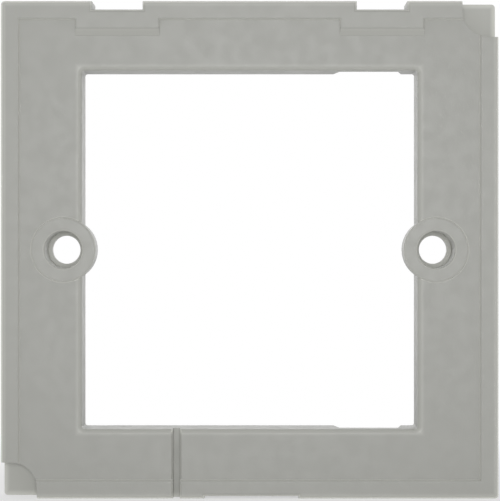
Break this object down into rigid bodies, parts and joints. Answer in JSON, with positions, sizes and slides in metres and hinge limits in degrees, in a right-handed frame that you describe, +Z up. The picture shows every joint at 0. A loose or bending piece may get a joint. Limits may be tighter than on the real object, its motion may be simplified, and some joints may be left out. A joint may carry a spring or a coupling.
{
  "type": "flush mount bezel",
  "caption": "Square moulded frame that is screwed over a flush box, with a raised rim, screw bosses beside a large opening, a cable groove and corner pockets.",
  "frame": {"origin": "midway between the two fixing holes, on the rear edge that lies on the wall", "axes": "+X to the right as seen from the front, +Z up, and the front faces -Y"},
  "size_m": [0.08, 0.008, 0.08],
  "materials": {
    "bezel": "satin moulded"
  },
  "bodies": {
    "root": {"bezel": "bezel"}
  },
  "joints": []
}
